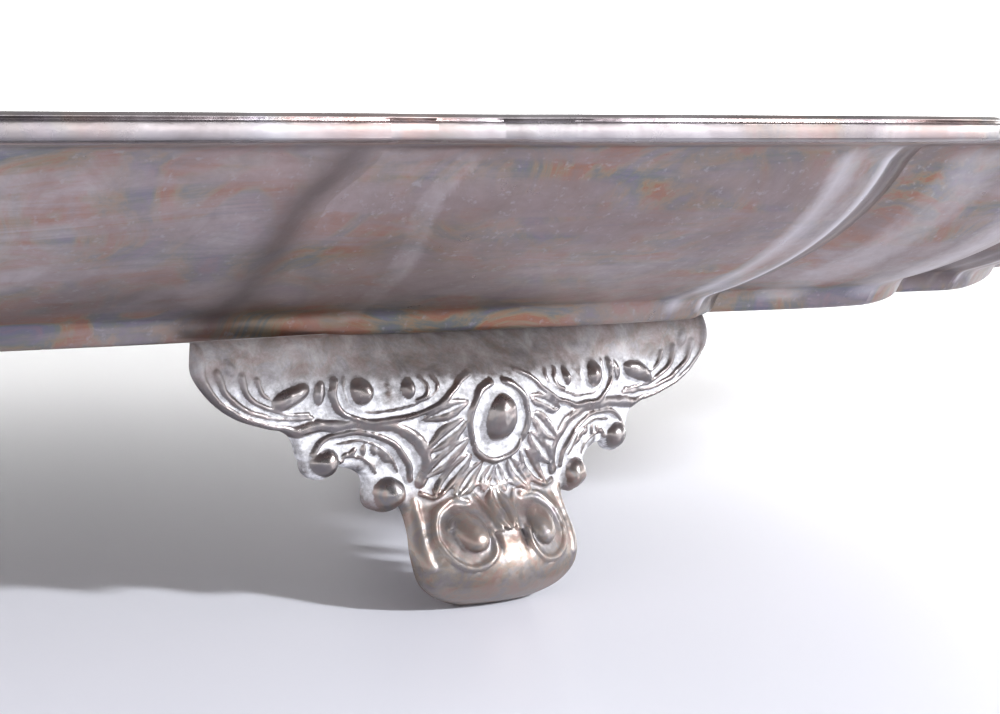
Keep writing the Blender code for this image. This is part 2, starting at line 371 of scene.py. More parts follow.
# (share of the foot's height, half width in millimetres), down the edge of the casting
FOOT_EDGE = (
    (1.0, 24.3), (0.93, 24.4), (0.88, 24.0), (0.82, 23.0), (0.77, 21.8), (0.73, 20.3),
    (0.70, 18.4), (0.688, 17.2), (0.665, 16.3), (0.63, 15.9), (0.60, 15.75), (0.57, 15.3),
    (0.55, 13.2), (0.535, 11.6), (0.51, 10.7), (0.47, 10.3), (0.45, 9.6), (0.40, 8.0),
    (0.37, 7.5), (0.30, 7.45), (0.22, 7.7), (0.15, 7.55), (0.10, 7.0), (0.055, 5.9),
    (0.025, 4.6), (0.0, 3.2),
)
# (share of the foot's height, share of the knee's or the toe's reach)
PLATE_PROFILE = (
    (1.0, -0.25), (0.93, 0.25), (0.86, 0.76), (0.79, 1.0), (0.70, 1.0), (0.58, 0.87), (0.47, 0.68),
)
TOE_PROFILE = (
    (0.405, 0.45), (0.33, 0.70), (0.24, 0.91), (0.16, 1.0), (0.09, 0.92), (0.045, 0.78), (0.0, 0.52),
)
# (out from the middle, up, radius) in millimetres
EDGE_BEADS = ((14.1, 12.1, 1.35), (9.0, 9.45, 1.55))


def eased(table, at):
    """Smoothly interpolated value in a table of (position, value) that runs downwards."""
    places = np.array([place for place, _ in table])[::-1]
    values = np.array([value for _, value in table])[::-1]
    slopes = np.gradient(values, places)
    index = np.clip(np.searchsorted(places, at, side="right") - 1, 0, len(places) - 2)
    width = places[index + 1] - places[index]
    share = np.clip((at - places[index]) / width, 0.0, 1.0)
    return (
        (2 * share**3 - 3 * share**2 + 1) * values[index]
        + (share**3 - 2 * share**2 + share) * width * slopes[index]
        + (3 * share**2 - 2 * share**3) * values[index + 1]
        + (share**3 - share**2) * width * slopes[index + 1]
    )


def foot_front(across, height):
    """How far the casting's plain front stands out. Everything in metres."""
    share = height / FOOT_HEIGHT
    profile = [(place, out * KNEE) for place, out in PLATE_PROFILE]
    profile += [(place, out * TOE_REACH) for place, out in TOE_PROFILE]
    crest = eased(profile, share)
    spread = np.minimum(1.0, np.abs(across) / (KNEE_REACH * FOOT_HALF))
    plate = (crest + WING_SETBACK) * (1 - spread**2) ** 2 - WING_SETBACK
    toe = crest - TOE_CROWN * (across / TOE_HALF) ** 2
    top, bottom = TOE_BLEND
    return plate + (toe - plate) * smooth_step((top - share) / (top - bottom))


def smooth_path(points, samples=14):
    """A curve through points given in millimetres."""
    points = np.array(points, float)
    padded = np.vstack([2 * points[0] - points[1], points, 2 * points[-1] - points[-2]])
    path = []
    for a, b, c, d in zip(padded, padded[1:], padded[2:], padded[3:]):
        for share in np.arange(samples) / samples:
            path.append(
                0.5 * ((2 * b) + (c - a) * share + (2 * a - 5 * b + 4 * c - d) * share**2
                       + (3 * b - a - 3 * c + d) * share**3)
            )
    return np.array(path + [points[-1]])


def distance_to(path, x, y):
    """Distance from each place to a path, and how far along it (0 to 1) the nearest point is."""
    best = np.full(x.shape, 1e9)
    along = np.zeros(x.shape)
    for index in range(len(path) - 1):
        start, run = path[index], path[index + 1] - path[index]
        length = max(run @ run, 1e-12)
        share = np.clip(((x - start[0]) * run[0] + (y - start[1]) * run[1]) / length, 0.0, 1.0)
        reach = np.hypot(x - start[0] - run[0] * share, y - start[1] - run[1] * share)
        closer = reach < best
        best = np.where(closer, reach, best)
        along = np.where(closer, (index + share) / (len(path) - 1), along)
    return best, along


def edge_distance(x, y):
    """How far inside the casting's edge a place is, in millimetres; negative outside."""
    half = [(width, share * FOOT_HEIGHT / MM) for share, width in FOOT_EDGE]
    path = smooth_path(half, 6)
    reach, _ = distance_to(path, np.abs(x), y)
    inside = np.abs(x) < np.interp(y, path[::-1, 1], path[::-1, 0])
    signed = np.where(inside, reach, -reach)
    signed = np.minimum(signed, FOOT_HEIGHT / MM - y)
    for centre, up, radius in EDGE_BEADS:
        signed = np.maximum(signed, radius - np.hypot(np.abs(x) - centre, y - up))
    return np.minimum(signed, y)


class Relief:
    """Heights of the chased ornament over the casting, in millimetres, worked on a grid."""

    def __init__(self, x, y):
        self.x, self.y = x, y
        self.height = np.zeros(x.shape)

    def window(self, low, high, both):
        """The grid points between two corners, and where they are; both adds the mirrored side."""
        x = np.abs(self.x) if both else self.x
        across = (x > low[0]) & (x < high[0])
        near = np.flatnonzero(across & (self.y > low[1]) & (self.y < high[1]))
        return near, x[near], self.y[near]

    def along(self, points, width, both):
        path = smooth_path(points)
        near, x, y = self.window(path.min(0) - width, path.max(0) + width, both)
        reach, along = distance_to(path, x, y)
        return near, reach, along

    def rib(self, points, width, height, both=True, taper=0.0):
        """A rounded rib along a path; taper thins it towards its far end."""
        near, reach, along = self.along(points, width, both)
        local = width * (1 - taper * along)
        crown = np.clip(1 - (reach / local) ** 2, 0, 1) ** 0.7
        rise = height * (1 - taper * 0.6 * along) * crown
        self.height[near] = np.maximum(self.height[near], rise)

    def groove(self, points, width, depth, both=True):
        near, reach, _ = self.along(points, 2 * width, both)
        self.height[near] -= depth * np.exp(-((reach / width) ** 2) * 2)

    def boss(self, centre, half, height, turn=0.0, both=True):
        """A rounded boss with an elliptical foot."""
        most = max(half)
        near, x, y = self.window(np.array(centre) - most, np.array(centre) + most, both)
        lean = math.radians(turn)
        across = (x - centre[0]) * math.cos(lean) + (y - centre[1]) * math.sin(lean)
        up = -(x - centre[0]) * math.sin(lean) + (y - centre[1]) * math.cos(lean)
        rest = np.clip(1 - (across / half[0]) ** 2 - (up / half[1]) ** 2, 0, 1)
        self.height[near] = np.maximum(self.height[near], height * np.sqrt(rest))

    def hollow(self, centre, half, depth, both=True):
        near, x, y = self.window(np.array(centre) - half, np.array(centre) + half, both)
        rest = 1 - ((x - centre[0]) / half[0]) ** 2 - ((y - centre[1]) / half[1]) ** 2
        self.height[near] -= depth * smooth_step(np.clip(rest, 0, 1) * 1.6)

    def leaf(self, base, tip, width, height, both=True):
        """A pointed leaf with a sunk vein and turned-up sides."""
        start, end = np.array(base), np.array(tip)
        near, x, y = self.window(
            np.minimum(start, end) - width * 1.3, np.maximum(start, end) + width * 1.3, both
        )
        run = end - start
        length = math.hypot(*run)
        along = ((x - start[0]) * run[0] + (y - start[1]) * run[1]) / length**2
        off = np.abs((x - start[0]) * run[1] - (y - start[1]) * run[0]) / length
        inner = np.clip(along, 0, 1)
        half = width * np.clip(3.2 * inner**0.7 * (1 - inner) ** 0.8, 0, 1.2)
        inside = (along > 0) & (along < 1) & (off < half)
        share = np.clip(off / np.maximum(half, 1e-6), 0, 1)
        body = height * (0.25 + 0.75 * np.sin(share * math.pi) ** 0.7) * (0.6 + 0.4 * inner)
        self.height[near] = np.where(inside, np.maximum(self.height[near], body), self.height[near])


def chase(relief):
    """All the ornament of one foot, from the apron down to the toe."""
    # borders of the wings
    relief.rib([(24.1, 21.0), (23.9, 19.0), (22.6, 17.3), (20.4, 15.9), (18.0, 15.1), (16.6, 14.9)],
               0.45, 0.5)
    relief.rib([(22.6, 19.6), (21.9, 18.0), (20.0, 16.5), (17.5, 15.8), (14.9, 15.7)],
               0.34, 0.5, taper=0.3)
    relief.rib([(20.6, 19.2), (20.3, 17.9), (19.0, 16.9), (17.2, 16.2), (15.2, 16.0)],
               0.32, 0.55, taper=0.3)
    relief.rib([(19.3, 18.9), (18.9, 17.9), (18.0, 17.2), (16.6, 16.6)], 0.24, 0.4, taper=0.4)
    relief.boss((16.6, 17.4), (1.75, 0.85), 0.95, turn=-24)
    relief.boss((14.2, 17.6), (0.5, 0.95), 0.45, turn=12)
    relief.boss((21.6, 19.9), (0.75, 0.45), 0.4, turn=50)
    # dished scroll that holds the pea
    relief.rib([(13.1, 18.5), (13.25, 17.2), (12.5, 15.9), (10.8, 15.35), (8.6, 15.4), (6.3, 16.0),
                (4.6, 17.0), (3.5, 18.1), (2.2, 18.7)], 0.36, 0.75, taper=0.35)
    relief.rib([(12.3, 18.6), (12.3, 17.4), (11.9, 16.5), (10.6, 16.0), (8.8, 16.1), (6.9, 16.6),
                (5.4, 17.4)], 0.2, 0.35, taper=0.4)
    relief.boss((11.1, 17.6), (0.95, 1.15), 1.15, turn=0)
    relief.boss((7.5, 17.75), (0.5, 0.85), 0.8, turn=10)
    relief.rib([(6.4, 18.5), (6.0, 17.9), (6.3, 17.2), (7.0, 16.8)], 0.22, 0.45)
    relief.rib([(5.3, 18.5), (5.1, 18.0), (5.3, 17.5)], 0.18, 0.3)
    # the stem that carries the wings into the toe
    relief.rib([(18.6, 14.95), (16.6, 14.7), (14.6, 15.0), (12.0, 15.05), (9.5, 14.9), (7.6, 14.2),
                (6.4, 12.9), (6.0, 11.4), (6.3, 10.2)], 0.62, 0.55)
    # lower scroll with its reeded lining
    relief.rib([(14.9, 12.9), (14.4, 13.7), (13.2, 14.3), (11.6, 14.45), (9.9, 14.1), (8.4, 13.1),
                (7.5, 11.8), (7.2, 10.4)], 0.3, 0.7)
    relief.rib([(13.0, 13.6), (11.6, 13.8), (10.1, 13.4), (8.9, 12.4), (8.2, 11.2)], 0.16, 0.42)
    for count in range(7):
        turn = math.radians(25 + 22 * count)
        centre = (10.9 - 2.0 * math.cos(turn), 11.5 + 1.55 * math.sin(turn))
        relief.boss(centre, (0.26, 0.5), 0.42, turn=math.degrees(turn) - 90)
    relief.rib([(12.4, 12.6), (11.2, 12.5), (10.3, 11.9), (9.9, 11.1)], 0.16, 0.35)
    # egg in its oval
    relief.hollow((0, 14.9), (2.5, 3.1), 0.35, both=False)
    ring = [(2.75 * math.sin(t), 14.8 + 3.25 * math.cos(t))
            for t in np.linspace(0.25, 2 * math.pi - 0.25, 22)]
    relief.rib(ring, 0.34, 0.62, both=False)
    moat = [(2.05 * math.sin(t), 14.95 + 2.5 * math.cos(t))
            for t in np.linspace(0, 2 * math.pi, 20)]
    relief.rib(moat, 0.14, 0.12, both=False)
    relief.boss((0, 15.1), (1.5, 2.05), 1.45, both=False)
    # acanthus beside and below the egg
    for base, tip, width, height in (
        ((2.9, 16.6), (6.6, 15.2), 0.75, 0.55), ((3.1, 15.2), (6.2, 12.6), 0.85, 0.65),
        ((2.9, 13.6), (6.1, 10.6), 0.85, 0.7), ((2.3, 12.3), (5.4, 8.9), 0.85, 0.75),
        ((1.2, 11.6), (3.6, 8.8), 0.75, 0.65), ((0.1, 11.3), (1.1, 9.0), 0.6, 0.55),
    ):
        relief.leaf(base, tip, width, height)
    relief.groove([(2.2, 13.4), (3.0, 11.4), (4.6, 9.6)], 0.16, 0.3)
    # the step where the plate laps over the toe
    relief.rib([(0.0, 9.3), (1.3, 9.75), (2.6, 9.2), (3.8, 9.6), (5.2, 9.0), (6.2, 9.3)], 0.28, 0.45)
    relief.leaf((0.0, 9.4), (0.0, 6.3), 1.15, 0.75, both=False)
    # the toe's paired volutes and side rolls
    relief.hollow((3.5, 5.9), (2.7, 2.7), 1.1)
    volute = [(3.5 + (2.85 - 0.2 * t) * math.cos(1.9 - t), 5.9 + (2.85 - 0.2 * t) * math.sin(1.9 - t))
              for t in np.linspace(0, 5.2, 18)]
    relief.rib(volute, 0.3, 0.35)
    relief.boss((3.35, 6.35), (1.3, 1.45), 1.25)
    curl = [(3.35 + (1.5 - 0.14 * t) * math.cos(0.2 + t), 6.3 + (1.5 - 0.14 * t) * math.sin(0.2 + t))
            for t in np.linspace(0, 3.4, 12)]
    relief.rib(curl, 0.18, 0.5)
    relief.rib([(6.9, 8.6), (7.15, 6.6), (7.2, 5.0), (6.9, 3.9)], 0.5, 0.28)
    relief.rib([(1.9, 9.0), (1.3, 8.0), (0.95, 7.0), (0.7, 6.4)], 0.22, 0.45)
    # beads on the edge, each in a shell
    for centre, up, radius in EDGE_BEADS:
        relief.boss((centre, up), (radius * 1.12, radius * 1.12), 0.35)
        relief.boss((centre - 0.12, up + 0.08), (radius * 0.86, radius * 0.86), radius * 0.95)


def waves(x, y, pitch, count, seed):
    """Soft uneven swells about a pitch apart, between -1 and 1."""
    dice = random.Random(seed)
    total = np.zeros(x.shape)
    for _ in range(count):
        turn, shift = dice.uniform(0, math.pi), dice.uniform(0, 2 * math.pi)
        rate = 2 * math.pi / (pitch * dice.uniform(0.7, 1.6))
        total += np.sin((x * math.cos(turn) + y * math.sin(turn)) * rate + shift)
    return total / math.sqrt(2 * count)


def blurred(grid, reach):
    """Box blur of a grid of heights, run three times."""
    width = 2 * reach + 1
    for _ in range(3):
        for axis in (0, 1):
            edge = [(reach + 1, reach) if axis == way else (0, 0) for way in (0, 1)]
            total = np.cumsum(np.pad(grid, edge, mode="edge"), axis=axis)
            grid = (np.take(total, range(width, total.shape[axis]), axis)
                    - np.take(total, range(0, total.shape[axis] - width), axis)) / width
    return grid


def make_foot_pattern():
    """One foot, standing at the origin and facing the front: a grid cut to the edge and chased."""
    columns = int(round(2 * (FOOT_HALF + GRID_MARGIN * MM) / RELIEF_PITCH))
    rows = int(round(FOOT_HEIGHT / RELIEF_PITCH))
    start_piece()
    bpy.ops.mesh.primitive_grid_add(x_subdivisions=columns, y_subdivisions=rows, size=1.0)
    piece = bpy.context.object
    mesh = piece.data
    points = coordinates(mesh)
    x = points[:, 0] * 2 * (FOOT_HALF / MM + GRID_MARGIN)
    y = (points[:, 1] + 0.5) * FOOT_HEIGHT / MM
    signed = edge_distance(x, y)
    step = SLOPE_STEP
    slope_x = (edge_distance(x + step, y) - edge_distance(x - step, y)) / (2 * step)
    slope_y = (edge_distance(x, y + step) - edge_distance(x, y - step)) / (2 * step)
    near = np.abs(signed) < EDGE_SNAP * (RELIEF_PITCH / MM)
    x = np.where(near, x - signed * slope_x, x)
    y = np.clip(np.where(near, y - signed * slope_y, y), 0.0, FOOT_HEIGHT / MM)
    signed = np.where(near, 0.0, signed)

    sway, pitch = CASTING_SWAY
    relief = Relief(x + sway * waves(x, y, pitch, 9, 3), y + sway * waves(x, y, pitch, 9, 4))
    chase(relief)
    ornament = smooth_step((19.4 - y) / 1.2) * smooth_step((y - 1.5) / 5.0)
    coarse = COARSE_SKIN[0] * waves(x, y, COARSE_SKIN[1], 14, 5)
    fine = FINE_SKIN[0] * waves(x, y, FINE_SKIN[1], 14, 6)
    height = relief.height + ornament * (coarse + fine)
    order = np.lexsort((points[:, 0], np.round(points[:, 1], 6)))
    grid = height[order].reshape(rows + 1, columns + 1)
    soft = blurred(grid, 1)
    wide = blurred(grid, 5)
    height = np.empty(len(points))
    hollow = np.empty(len(points))
    height[order] = (0.5 * grid + 0.5 * soft).ravel()
    hollow[order] = (wide - grid).ravel()
    inset = np.clip(signed, 0.0, EDGE_ROUNDING) / EDGE_ROUNDING
    roll = 0.5 * (1 - np.sqrt(np.clip(1 - (1 - inset) ** 2, 0, 1)))
    from_top = (y - FOOT_HEIGHT / MM + TOP_ROLL_REACH) / TOP_ROLL_REACH
    brow = TOP_ROLL * smooth_step(from_top) ** 2
    out = foot_front(x * MM, y * MM) + (height - roll - brow) * MM
    lap = LAP * smooth_step((y - LAP_START) / LAP_REACH)
    set_coordinates(mesh, np.stack([x * MM, -out, (y + lap) * MM], 1))
    store(mesh, "hollow", hollow)
    store(mesh, "plate_height", y / (FOOT_HEIGHT / MM))

    bpy.ops.object.mode_set(mode="EDIT")
    bpy.ops.mesh.select_mode(type="VERT")
    bpy.ops.mesh.select_all(action="DESELECT")
    bpy.ops.object.mode_set(mode="OBJECT")
    mesh.vertices.foreach_set("select", signed < -0.01)
    bpy.ops.object.mode_set(mode="EDIT")
    bpy.ops.mesh.delete(type="VERT")
    bpy.ops.mesh.select_all(action="SELECT")
    bpy.ops.mesh.extrude_region_move(TRANSFORM_OT_translate={"value": (0, FOOT_CASTING, 0)})
    bpy.ops.object.mode_set(mode="OBJECT")
    points = coordinates(mesh)
    back = np.array([vertex.select for vertex in mesh.vertices])
    toe = smooth_step((TOE_BLEND[0] - points[:, 2] / FOOT_HEIGHT) / (TOE_BLEND[0] - TOE_BLEND[1]))
    full = FOOT_CASTING + (TOE_DEPTH - FOOT_CASTING) * toe
    inside = smooth_step(edge_distance(points[:, 0] / MM, points[:, 2] / MM) / BACK_REACH)
    thick = FOOT_EDGE_THICKNESS + (full - FOOT_EDGE_THICKNESS) * inside
    points[back, 1] = (thick - foot_front(points[:, 0], points[:, 2]))[back]
    set_coordinates(mesh, points)
    bpy.ops.object.mode_set(mode="EDIT")
    bpy.ops.mesh.select_all(action="SELECT")
    bpy.ops.mesh.normals_make_consistent(inside=False)
    bpy.ops.object.mode_set(mode="OBJECT")
    bpy.ops.object.shade_smooth_by_angle(angle=FOOT_SMOOTH_ANGLE)
    return piece


def make_feet(material):
    pattern = make_foot_pattern()
    for count in range(FOOT_COUNT):
        angle = FOOT_ANGLE + count * 2 * math.pi / FOOT_COUNT
        reach = BASE_RADIUS - FOOT_SETBACK
        place = Matrix.Translation((reach * math.sin(angle), -reach * math.cos(angle), 0.0))
        foot = pattern.copy()
        foot.data = pattern.data.copy()
        foot.data.transform(place @ Matrix.Rotation(angle + FOOT_TURN, 4, "Z"))
        foot.name = foot.data.name = f"scroll_foot_{count + 1}"
        bpy.context.collection.objects.link(foot)
        finish_piece(foot, material, [f"foot_{count + 1}"])
    bpy.data.objects.remove(pattern, do_unlink=True)


# Metal finishes ------------------------------------------------------------------------------


class Finish:
    """A metal material and the short calls that wire its nodes."""

    def __init__(self, name):
        self.material = bpy.data.materials.new(name)
        self.material.use_nodes = True
        self.tree = self.material.node_tree
        self.shader = self.tree.nodes["Principled BSDF"]
        self.shader.inputs["Metallic"].default_value = 1.0
        self.place = self.add("ShaderNodeTexCoord").outputs["Object"]

    def add(self, kind, links=(), **values):
        node = self.tree.nodes.new(kind)
        for key, value in values.items():
            if key in node.inputs:
                node.inputs[key].default_value = value
            else:
                setattr(node, key, value)
        for socket, source in dict(links).items():
            self.tree.links.new(source, node.inputs[socket])
        return node

    def noise(self, scale, detail=6.0, roughness=0.6, distortion=0.0, vector=None):
        node = self.add("ShaderNodeTexNoise", {"Vector": vector or self.place})
        for name, value in (("Scale", scale), ("Detail", detail), ("Roughness", roughness),
                            ("Distortion", distortion)):
            node.inputs[name].default_value = value
        return node.outputs["Fac"]

    def stretched(self, scale, attribute="lie"):
        """The piece's own run round and up the tray, stretched so that marks follow it."""
        lie = self.add("ShaderNodeAttribute", attribute_name=attribute).outputs["Vector"]
        mapping = self.add("ShaderNodeMapping", {"Vector": lie})
        mapping.inputs["Scale"].default_value = scale
        return mapping.outputs["Vector"]

    def ramp(self, source, stops):
        node = self.add("ShaderNodeValToRGB", {"Fac": source})
        elements = node.color_ramp.elements
        while len(elements) < len(stops):
            elements.new(0.5)
        for element, (position, colour) in zip(elements, stops):
            element.position = position
            whole = colour if isinstance(colour, tuple) else (colour,) * 3
            element.color = (*whole, 1.0)
        return node.outputs["Color"]

    def mix(self, share, first, second, blend="MIX"):
        node = self.add("ShaderNodeMix", data_type="RGBA", blend_type=blend)
        sockets = {"Factor": 0, "A": 6, "B": 7}
        for name, value in (("Factor", share), ("A", first), ("B", second)):
            socket = node.inputs[sockets[name]]
            if isinstance(value, bpy.types.NodeSocket):
                self.tree.links.new(value, socket)
            else:
                socket.default_value = (*value, 1.0) if isinstance(value, tuple) else value
        return node.outputs[2]

    def sum(self, first, second, operation="ADD"):
        node = self.add("ShaderNodeMath", operation=operation)
        for index, value in enumerate((first, second)):
            if isinstance(value, bpy.types.NodeSocket):
                self.tree.links.new(value, node.inputs[index])
            else:
                node.inputs[index].default_value = value
        return node.outputs[0]

    def bump(self, source, depth, strength=1.0, below=None):
        node = self.add("ShaderNodeBump", {"Height": source})
        node.inputs["Distance"].default_value = depth
        node.inputs["Strength"].default_value = strength
        if below:
            self.tree.links.new(below, node.inputs["Normal"])
        return node.outputs["Normal"]

    def apply(self, colour=None, roughness=None, normal=None, metallic=None):
        for name, source in (("Base Color", colour), ("Roughness", roughness), ("Normal", normal),
                             ("Metallic", metallic)):
            if source is not None:
                self.tree.links.new(source, self.shader.inputs[name])


BLOOM_COLOURS = (
    (0.30, (0.24, 0.17, 0.15)), (0.42, (0.34, 0.15, 0.09)), (0.48, (0.30, 0.23, 0.15)),
    (0.55, (0.17, 0.19, 0.18)), (0.62, (0.17, 0.17, 0.23)), (0.72, (0.27, 0.18, 0.21)),
)


PAN_GREYS = ((0.32, (0.25, 0.19, 0.185)), (0.52, (0.36, 0.295, 0.30)), (0.72, (0.48, 0.425, 0.445)))
RIM_GREYS = ((0.32, (0.17, 0.14, 0.14)), (0.5, (0.31, 0.28, 0.29)), (0.68, (0.52, 0.49, 0.515)))
FOOT_GREYS = ((0.3, (0.10, 0.088, 0.09)), (0.55, (0.20, 0.185, 0.19)), (0.75, (0.34, 0.32, 0.335)))
DUST_COLOURS = ((0.35, (0.20, 0.17, 0.16)), (0.5, (0.36, 0.33, 0.34)), (0.68, (0.60, 0.58, 0.61)))
SOLDER_GREYS = ((0.3, (0.24, 0.23, 0.23)), (0.7, (0.46, 0.45, 0.45)))


def pan_finish():
    metal = Finish("tarnished_pan_silver")
    metal.shader.inputs["Metallic"].default_value = 0.86
    stain = metal.add("ShaderNodeAttribute", attribute_name="stain").outputs["Fac"]
    clouds = metal.noise(38, 6, 0.6, 0.8)
    film = metal.noise(6, 9, 0.68, 0.6, metal.stretched((7, 30, 55)))
    specks = metal.noise(1400, 3, 0.6)
    mottle = metal.noise(330, 6, 0.7, 0.4)
    grey = metal.ramp(clouds, PAN_GREYS)
    grey = metal.mix(metal.ramp(mottle, ((0.35, 0.0), (0.7, 0.45))), grey, (0.19, 0.145, 0.13))
    bloom = metal.ramp(metal.noise(120, 7, 0.65, 1.6), BLOOM_COLOURS)
    share = metal.ramp(film, ((0.45, 0.0), (0.66, 0.8)))
    band = metal.ramp(stain, ((0.0, 0.05), (0.5, 0.45), (1.0, 0.85)))
    share = metal.sum(share, metal.sum(band, metal.noise(26, 4, 0.6), "MULTIPLY"))
    colour = metal.mix(metal.sum(share, 0.9, "MINIMUM"), grey, bloom)
    colour = metal.mix(metal.ramp(specks, ((0.60, 0.0), (0.70, 0.4))), colour, (0.42, 0.40, 0.42))
    # painted light on the folds: hollows and darker facets go near-black as painted shade, partly
    # tarnish; ridges and brighter facets go pale as painted highlight, partly worn silver
    fold = metal.add("ShaderNodeAttribute", attribute_name="fold").outputs["Fac"]
    dark = metal.ramp(metal.sum(fold, -1.0, "MULTIPLY"), ((0.05, 0.0), (0.7, 0.75)))
    colour = metal.mix(dark, colour, (0.13, 0.10, 0.10))
    lightening = metal.sum(fold, metal.sum(mottle, 0.3, "MULTIPLY"), "SUBTRACT")
    bright = metal.ramp(lightening, ((0.05, 0.0), (0.75, 0.9)))
    colour = metal.mix(bright, colour, (0.74, 0.71, 0.74))
    rough = metal.ramp(metal.noise(260, 6, 0.7), ((0.3, 0.26), (0.7, 0.46)))
    scratches = metal.noise(30, 4, 0.6, 0.0, metal.stretched((6, 300, 300)))
    normal = metal.bump(metal.noise(28, 2, 0.5), 0.5 * MM, 0.35)
    normal = metal.bump(scratches, 0.02 * MM, 0.35, normal)
    normal = metal.bump(mottle, 0.03 * MM, 0.5, normal)
    metal.apply(colour, rough, normal)
    return metal.material


def moulding_finish():
    metal = Finish("rubbed_rim_silver")
    clouds = metal.noise(60, 5, 0.6, 0.5)
    colour = metal.ramp(clouds, RIM_GREYS)
    bloom = metal.ramp(metal.noise(150, 5, 0.6, 1.0), BLOOM_COLOURS)
    share = metal.ramp(metal.noise(45, 5, 0.6), ((0.45, 0.0), (0.65, 0.45)))
    colour = metal.mix(share, colour, bloom)
    rough = metal.ramp(metal.noise(300, 5, 0.6), ((0.3, 0.16), (0.7, 0.32)))
    normal = metal.bump(metal.noise(60, 3, 0.6), 0.25 * MM, 0.4)
    normal = metal.bump(metal.noise(900, 3, 0.6), 0.03 * MM, 0.4, normal)
    metal.apply(colour, rough, normal)
    return metal.material


def foot_finish():
    metal = Finish("cast_foot_silver")
    hollow = metal.add("ShaderNodeAttribute", attribute_name="hollow").outputs["Fac"]
    height = metal.add("ShaderNodeAttribute", attribute_name="plate_height").outputs["Fac"]
    clouds = metal.noise(160, 6, 0.65, 0.6)
    grain = metal.noise(1500, 6, 0.7)
    crust = metal.noise(420, 7, 0.72, 0.3)
    grey = metal.ramp(clouds, FOOT_GREYS)
    bloom = metal.ramp(metal.noise(520, 7, 0.7, 1.0), BLOOM_COLOURS)
    low = metal.ramp(height, ((0.38, 0.6), (0.5, 0.15), (0.86, 0.1), (0.92, 0.4)))
    colour = metal.mix(low, grey, bloom)
    warm = metal.ramp(height, ((0.36, 0.5), (0.46, 0.0)))
    colour = metal.mix(warm, colour, (0.18, 0.14, 0.125))
    # painted shade: the toe's hollows are darkened almost to black
    sunk = metal.ramp(hollow, ((0.03, 0.0), (0.3, 1.0)))
    colour = metal.mix(metal.sum(sunk, warm, "MULTIPLY"), colour, (0.07, 0.06, 0.075))
    shown = metal.ramp(height, ((0.38, 0.12), (0.46, 1.0), (0.84, 1.0), (0.9, 0.12)))
    patchy = metal.sum(metal.sum(hollow, 2.6, "MULTIPLY"), metal.sum(crust, 1.15, "MULTIPLY"))
    residue = metal.ramp(patchy, ((0.56, 0.0), (0.92, 1.0)))
    residue = metal.sum(residue, shown, "MULTIPLY")
    chalk = metal.ramp(grain, ((0.35, (0.36, 0.355, 0.37)), (0.65, (0.82, 0.82, 0.86))))
    colour = metal.mix(residue, colour, chalk)
    lightening = metal.ramp(hollow, ((0.0, 1.0), (0.001, 0.0)))
    colour = metal.mix(metal.sum(lightening, 0.25, "MULTIPLY"), colour, (0.34, 0.31, 0.31))
    rough = metal.ramp(metal.noise(500, 5, 0.6), ((0.3, 0.22), (0.7, 0.42)))
    rough = metal.mix(warm, rough, (0.5, 0.5, 0.5))
    rough = metal.mix(residue, rough, (0.85, 0.85, 0.85))
    dust = metal.ramp(height, ((0.84, 0.0), (0.9, 0.8)))
    dusty = metal.ramp(crust, DUST_COLOURS)
    colour = metal.mix(metal.sum(dust, 0.7, "MULTIPLY"), colour, dusty)
    rough = metal.mix(dust, rough, (0.62, 0.62, 0.62))
    film = metal.sum(metal.sum(residue, dust, "MAXIMUM"), 0.9, "MULTIPLY")
    film = metal.sum(film, metal.sum(warm, 0.6, "MULTIPLY"), "MAXIMUM")
    metallic = metal.sum(1.0, film, "SUBTRACT")
    normal = metal.bump(metal.noise(700, 5, 0.65), 0.06 * MM, 0.5)
    normal = metal.bump(grain, 0.03 * MM, 0.5, normal)
    metal.apply(colour, rough, normal, metallic)
    return metal.material


def solder_finish():
    metal = Finish("grey_solder")
    colour = metal.ramp(metal.noise(400, 5, 0.6), SOLDER_GREYS)
    rough = metal.ramp(metal.noise(600, 4, 0.6), ((0.3, 0.4), (0.7, 0.65)))
    normal = metal.bump(metal.noise(300, 4, 0.6), 0.3 * MM, 0.6)
    metal.apply(colour, rough, normal)
    return metal.material


# Setting -------------------------------------------------------------------------------------

VIEW_TURN = math.radians(28.6)  # the eye stands this far round from the tray's front
EYE = Matrix.Rotation(VIEW_TURN, 3, "Z") @ Vector((75.7, -286.85, 37.2)) * MM
EYE_PITCH = math.radians(6.10)
EYE_YAW = math.radians(0.26)
EYE_LENS = 74.1

ROOM_AHEAD = 0.68
ROOM_BEHIND = 0.4
ROOM_TURN = (-0.7, 0.8)  # where the dim side ends and the bright side begins, from behind to ahead
BACKDROP_GLOW = 9.5  # how many times brighter the room is low down
GLOW_HEIGHTS = (0.22, 0.10)  # none of the glow above the first, all of it below the second

TABLE_WIDTH = 6.0
TABLE_COLOUR = (0.79, 0.80, 0.88, 1.0)
TABLE_ROUGHNESS = 0.32

# (right, ahead, up) of the tray's middle, as the eye sees it
KEY_PLACE = (1.12, -0.644, 0.63)
KEY_AIM = (0.05, -0.1, 0.02)
KEY_WIDTH = 0.126
KEY_POWER = 25.0
KEY_COLOUR = (0.96, 0.98, 1.0)


def make_table():
    start_piece()
    bpy.ops.mesh.primitive_plane_add(size=TABLE_WIDTH, location=(0, 0, 0))
    table = bpy.context.object
    table.name = "table_top"
    paint = bpy.data.materials.new("pale_table")
    paint.use_nodes = True
    shader = paint.node_tree.nodes["Principled BSDF"]
    shader.inputs["Base Color"].default_value = TABLE_COLOUR
    shader.inputs["Roughness"].default_value = TABLE_ROUGHNESS
    shader.inputs["Specular IOR Level"].default_value = 0.5
    table.data.materials.append(paint)


def facing_view(right, ahead, up):
    """A place given by how far right, ahead and up it is as the eye sees it."""
    return Matrix.Rotation(VIEW_TURN, 3, "Z") @ Vector((right, ahead, up))


